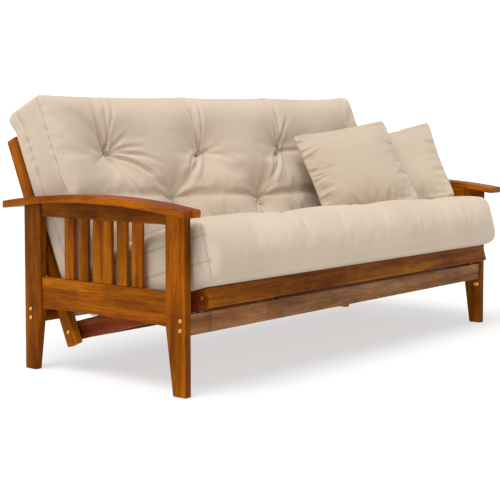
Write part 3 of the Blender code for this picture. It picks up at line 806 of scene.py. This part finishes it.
def fill_out(points, cut):
    """The back half is a little fuller than its cut: wider, higher to the right, and over the top rail."""
    x, along, up = points.T
    edge = np.sign(cut[:, 0]) * (np.abs(cut[:, 0]) / MATTRESS_HALF_X) ** 4
    right = (cut[:, 0] / MATTRESS_HALF_X + 1) / 2
    above_arms = smooth((cut[:, 1] - 0.22) / 0.20)
    past_legs = smooth((cut[:, 1] - 0.525) / 0.07)
    x = x + edge * (0.011 * above_arms + 0.031 * right * past_legs)
    along = along + (0.029 * right - 0.009) * smooth((cut[:, 1] - 0.50) / 0.22)
    up = up + 0.014 * right * above_arms * smooth((up - 0.02) / 0.06)
    low = smooth((0.02 - up) / 0.09)
    up = up - 0.016 * low * smooth((cut[:, 1] - 0.655) / 0.05)
    return np.stack([x, along, up], axis=1)


def ease_pits(points, on_top):
    """Lifts the very bottom of each tuft, so that it is a pinch and not a hole."""
    lifted = points.copy()
    for x, along, depth in TUFTS.values():
        gap = np.hypot(points[on_top, 0] - x, points[on_top, 1] - along)
        lifted[on_top, 2] += PIT_EASE * depth * np.exp(-((gap / PIT_WIDTH) ** 2))
    return lifted


def tuft_knots(flat, cut):
    """The knotted thread at the bottom of each tuft, with its three cut ends, as one mesh."""
    shape = bmesh.new()
    on_top = cut[:, 2] > 0.095
    for x, along, _ in TUFTS.values():
        gap = np.where(on_top, np.hypot(cut[:, 0] - x, cut[:, 1] - along), 9.0)
        spot = Vector(flat[np.argmin(gap)])
        made = bmesh.ops.create_uvsphere(shape, u_segments=12, v_segments=8, radius=KNOT_RADIUS)
        for number, vert in enumerate(made["verts"]):
            vert.co.z *= 0.55 + 0.12 * math.sin(number * 1.7)
            vert.co += spot + Vector((0.0, 0.0, KNOT_RADIUS))
        for turn in THREAD_TURNS:
            ends = {"radius1": 0.0012, "radius2": 0.0007, "depth": THREAD_LENGTH}
            tail = bmesh.ops.create_cone(shape, segments=6, **ends)
            lean = Matrix.Rotation(turn, 4, "Z") @ Matrix.Rotation(1.0, 4, "Y")
            for vert in tail["verts"]:
                outward = lean @ (vert.co + Vector((0.0, 0.0, KNOT_RADIUS)))
                vert.co = spot + Vector((0.0, 0.0, KNOT_RADIUS * 1.5)) + outward
    mesh = bpy.data.meshes.new("mattress_tufts")
    shape.to_mesh(mesh)
    shape.free()
    mesh.uv_layers.new(name="UVMap")
    mesh.shade_smooth()
    set_coords(mesh, to_rest(coords(mesh)))
    return link("mattress_tufts", mesh, TUFT_THREAD)


def cut_shape(grid, ys, low, high):
    """The closed cut before it is filled: rounded, with its border and its fold line where they belong.
    Returns the places and the row of the grid that the fold line runs along."""
    tall = grid[:, 2] - BOTTOM
    on_back = smooth((grid[:, 1] + 0.12) / 0.24)
    seat_rows = np.interp(tall, CUT_ROWS, SEAT_ROWS)
    back_rows = np.interp(tall, CUT_ROWS, BACK_ROWS)
    rows = BOTTOM + seat_rows * (1 - on_back) + back_rows * on_back
    radii = SEAT_RADII + on_back[:, None] * (BACK_RADII - SEAT_RADII)
    base = round_box(np.stack([grid[:, 0], grid[:, 1], rows], axis=1), low, high, radii)
    base[:, 2] += tall / (FULL_TOP - BOTTOM) * (top_height(base[:, 1]) - FULL_TOP)
    fold_row = ys[np.argmin(np.abs(ys - 0.290))]
    shift = np.interp(grid[:, 0], *zip(*FOLD_LINE)) - fold_row
    near_fold = np.exp(-(((grid[:, 1] - fold_row) / 0.09) ** 2))
    base[:, 1] += shift * near_fold * smooth((tall - 0.15) / 0.045)
    return base, fold_row


def held_points(grid):
    """The underside, the side panels and the lower part of both ends keep their places."""
    tall = grid[:, 2] - BOTTOM
    held = tall < 1e-6
    held |= (np.abs(grid[:, 0]) > MATTRESS_HALF_X - 1e-6) & (tall < 0.19)
    held |= (grid[:, 1] > BACK_END - 1e-6) & (tall < 0.150)
    held |= (grid[:, 1] < SEAT_END + 1e-6) & (tall < 0.050)
    return list(np.nonzero(held)[0])


def tie_down(base, on_top, in_fold):
    """Draws the top down at the fold line and the tufts. Returns the places and the points tied there."""
    start = base.copy()
    tied = []
    for index in np.nonzero(in_fold)[0]:
        from_tuft = min(abs(base[index, 0] - TUFTS[name][0]) for name in FOLD_TUFTS)
        deeper = FOLD_DEPTH_AT_TUFT * math.exp(-from_tuft / 0.06)
        tied.append(index)
        start[index, 2] = top_height(base[index, 1]) - FOLD_DEPTH - deeper
    top = np.nonzero(on_top)[0]
    for x, along, depth in TUFTS.values():
        gap = np.hypot(base[top, 0] - x, base[top, 1] - along)
        pull = depth * np.exp(-gap / TUFT_WIDTH)
        start[top, 2] = np.minimum(start[top, 2], top_height(base[top, 1]) - pull)
        nearest = top[np.argmin(gap)]
        tied.append(nearest)
        start[nearest, 2] = top_height(along) - depth
    return start, tied


def make_mattress():
    """One mattress for both CAD halves, filled by cloth simulation while flat and then folded to rest."""
    xs, ys, zs = mattress_rows()
    mesh = box_grid("mattress", xs, ys, zs)
    obj = link("mattress", mesh, MATTRESS_CLOTH)
    grid = coords(mesh)
    low = np.array([xs[0], ys[0], zs[0]])
    high = np.array([xs[-1], ys[-1], zs[-1]])
    base, fold_row = cut_shape(grid, ys, low, high)
    keep_cut(mesh)
    set_coords(mesh, base)
    on_top = grid[:, 2] > zs[-1] - 1e-6
    start, tied = tie_down(base, on_top, on_top & (np.abs(grid[:, 1] - fold_row) < 1e-6))
    settled = start
    settled = simulate(obj, start, held_points(grid) + tied, MATTRESS_FRAMES, 7.0, shrink=-0.012)
    set_coords(obj.data, ease_pits(settled, on_top))
    subdivide(obj, 1)
    cut = numbers(obj.data, "cut")
    refine(obj, (cut[:, 2] > 0.095) & (cut[:, 1] > 0.17))
    add_creases(obj)
    cut = numbers(obj.data, "cut")
    flat = fill_out(coords(obj.data), cut)
    knots = tuft_knots(flat, cut)
    set_coords(obj.data, to_rest(flat))
    obj.data.attributes.remove(obj.data.attributes["cut"])
    obj.data.shade_smooth()
    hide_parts("mattress_seat", "mattress_back")
    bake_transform(obj)
    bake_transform(knots)


# ---------------------------------------------------------------- pillows
def pillow_place(node_name):
    """The place of a pillow's CAD solid, as a matrix: Z out of its front, Y up its face, X along its edge."""
    points = coords(NODES[node_name].data)
    centre = points.mean(0)
    away = points - centre
    front = np.linalg.eigh(np.cov(away.T))[1][:, 0]
    if front[1] > 0:
        front = -front
    in_plane = away - np.outer(away @ front, front)
    corner = in_plane[np.argmax(np.linalg.norm(in_plane, axis=1))]
    corner = corner / np.linalg.norm(corner)
    side = np.cross(corner, front)
    edge = (corner + side) / np.linalg.norm(corner + side)
    beside = np.cross(front, edge)
    up = max((edge, beside, -edge, -beside), key=lambda axis: axis[2])
    matrix = Matrix.Identity(4)
    for column, axis in enumerate((np.cross(up, front), up, front, centre)):
        for row in range(3):
            matrix[row][column] = axis[row]
    return matrix


def gather(points, seed):
    """Rounds the corners and gathers the cloth into puckers along the closing seam, most on one edge."""
    half = PILLOW_SIDE / 2
    rng = np.random.default_rng(seed)
    moved = points.copy()
    reach = np.clip(np.abs(points[:, :2]) / half, 0.0, 1.0)
    pulled = 1 - CORNER_PULL * np.prod(reach**8, axis=1)
    moved[:, :2] *= pulled[:, None]
    face = np.sign(points[:, 2]) * smooth(np.abs(points[:, 2]) / PILLOW_SEAM)
    for axis, sign, height in PILLOW_PUCKERS:
        inward = half - sign * points[:, axis]
        place = points[:, 1 - axis]
        lean = place + 0.25 * inward * np.sin(place * 31 + seed)
        wave = np.zeros(len(points))
        for spacing, share in PUCKER_WAVES:
            wave += share * np.sin(2 * math.pi * lean / spacing + rng.uniform(0, 6.28))
        middle = 1 - (place / half) ** 6
        length = 0.050 * (1 + 0.4 * np.sin(place * 57 + 2 * seed))
        near = np.exp(-((inward / length) ** 2)) * smooth(inward / 0.010 + 0.15)
        moved[:, 2] += face * height * wave * near * middle
    return moved


def make_pillow(name, seed):
    """A square cover filled by cloth simulation round its pinned seam, in its CAD pillow's place."""
    half = PILLOW_SIDE / 2
    side = np.linspace(-half, half, PILLOW_CELLS + 1)
    mesh = box_grid(name, side, side, np.array([-PILLOW_SEAM / 2, PILLOW_SEAM / 2]))
    obj = link(name + "_cover", mesh, PILLOW_CLOTH)
    base = coords(mesh)
    start = base.copy()
    off_x, off_y = (1 - (base[:, :2] / half) ** 2).T
    start[:, 2] *= 1 + 8.0 * np.sqrt(np.clip(off_x * off_y, 0, 1))
    start[:, 0] *= 1 - PILLOW_BOW * off_y
    start[:, 1] *= 1 - PILLOW_BOW * off_x
    rim = np.nonzero(np.max(np.abs(base[:, :2]), axis=1) > half - 1e-6)[0]
    settled = start
    settled = simulate(
        obj, start, rim, PILLOW_FRAMES, 9.0, mass=0.10, bending=0.05, shrink=-0.07, stiff=14.0
    )
    settled[:, 2] *= PILLOW_THICK / np.ptp(settled[:, 2])
    settled[:, :2] *= PILLOW_SIDE / np.ptp(settled[:, :2])
    set_coords(obj.data, settled)
    subdivide(obj, 2)
    set_coords(obj.data, gather(coords(obj.data), seed))
    obj.matrix_world = pillow_place(name)
    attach(obj, name)
    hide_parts(name)


# ---------------------------------------------------------------- stage, light, camera
def sun_light(name, towards, strength, wide):
    """A distant lamp as wide as a big softbox. towards points from the sofa to the lamp."""
    data = bpy.data.lights.new(name, "SUN")
    data.energy = strength
    data.angle = math.radians(wide)
    light = bpy.data.objects.new(name, data)
    light.location = Vector(towards) * 5
    light.rotation_euler = Vector(towards).to_track_quat("Z", "Y").to_euler()
    bpy.context.scene.collection.objects.link(light)


def floor_mesh():
    shape = bmesh.new()
    spine = [shape.verts.new((reach, 0.0, rise)) for reach, rise in FLOOR_PROFILE]
    edges = [shape.edges.new(pair) for pair in zip(spine, spine[1:])]
    geometry = spine + edges
    bmesh.ops.spin(shape, geom=geometry, axis=(0, 0, 1), cent=(0, 0, 0), angle=2 * math.pi, steps=64)
    bmesh.ops.remove_doubles(shape, verts=shape.verts, dist=1e-4)
    bmesh.ops.recalc_face_normals(shape, faces=shape.faces)
    mesh = bpy.data.meshes.new("floor")
    shape.to_mesh(mesh)
    shape.free()
    return mesh


def set_stage():
    """A pale round floor that rises into a wall far away, a soft sky and one large lamp."""
    material, tree, shader = new_material("pale_floor")
    shader.inputs["Base Color"].default_value = FLOOR_TONE
    shader.inputs["Roughness"].default_value = 0.9
    shader.inputs["Specular IOR Level"].default_value = 0.0
    shader.inputs["Emission Color"].default_value = (1.0, 1.0, 1.0, 1.0)
    place = node(tree, "TexCoord").outputs["Object"]
    reach = node(tree, "VectorMath", operation="LENGTH", i0=place).outputs["Value"]
    glow = spread(tree, reach, FLOOR_PROFILE[1][0], FLOOR_PROFILE[2][0], *FLOOR_GLOW)
    tree.links.new(glow, shader.inputs["Emission Strength"])
    link("floor", floor_mesh(), material)
    world = bpy.data.worlds.new("studio")
    bpy.context.scene.world = world
    world.use_nodes = True
    sky = world.node_tree.nodes["Background"]
    sky.inputs["Color"].default_value = SKY_TONE
    sky.inputs["Strength"].default_value = SKY_STRENGTH
    sun_light("key", KEY_TOWARDS, KEY_STRENGTH, KEY_WIDTH)


def set_camera():
    data = bpy.data.cameras.new("camera")
    data.lens = CAMERA_LENS
    data.sensor_width = 36.0
    data.shift_y = CAMERA_SHIFT_Y
    camera = bpy.data.objects.new("camera", data)
    camera.location = CAMERA_PLACE
    camera.rotation_euler = (math.pi / 2 - CAMERA_DIP, 0.0, CAMERA_HEADING - math.pi / 2)
    bpy.context.scene.collection.objects.link(camera)
    bpy.context.scene.camera = camera
    bpy.context.scene.view_settings.view_transform = "Standard"


set_camera()
set_stage()
dress_frame()
make_mattress()
make_pillow("pillow_inner", 1)
make_pillow("pillow_outer", 2)
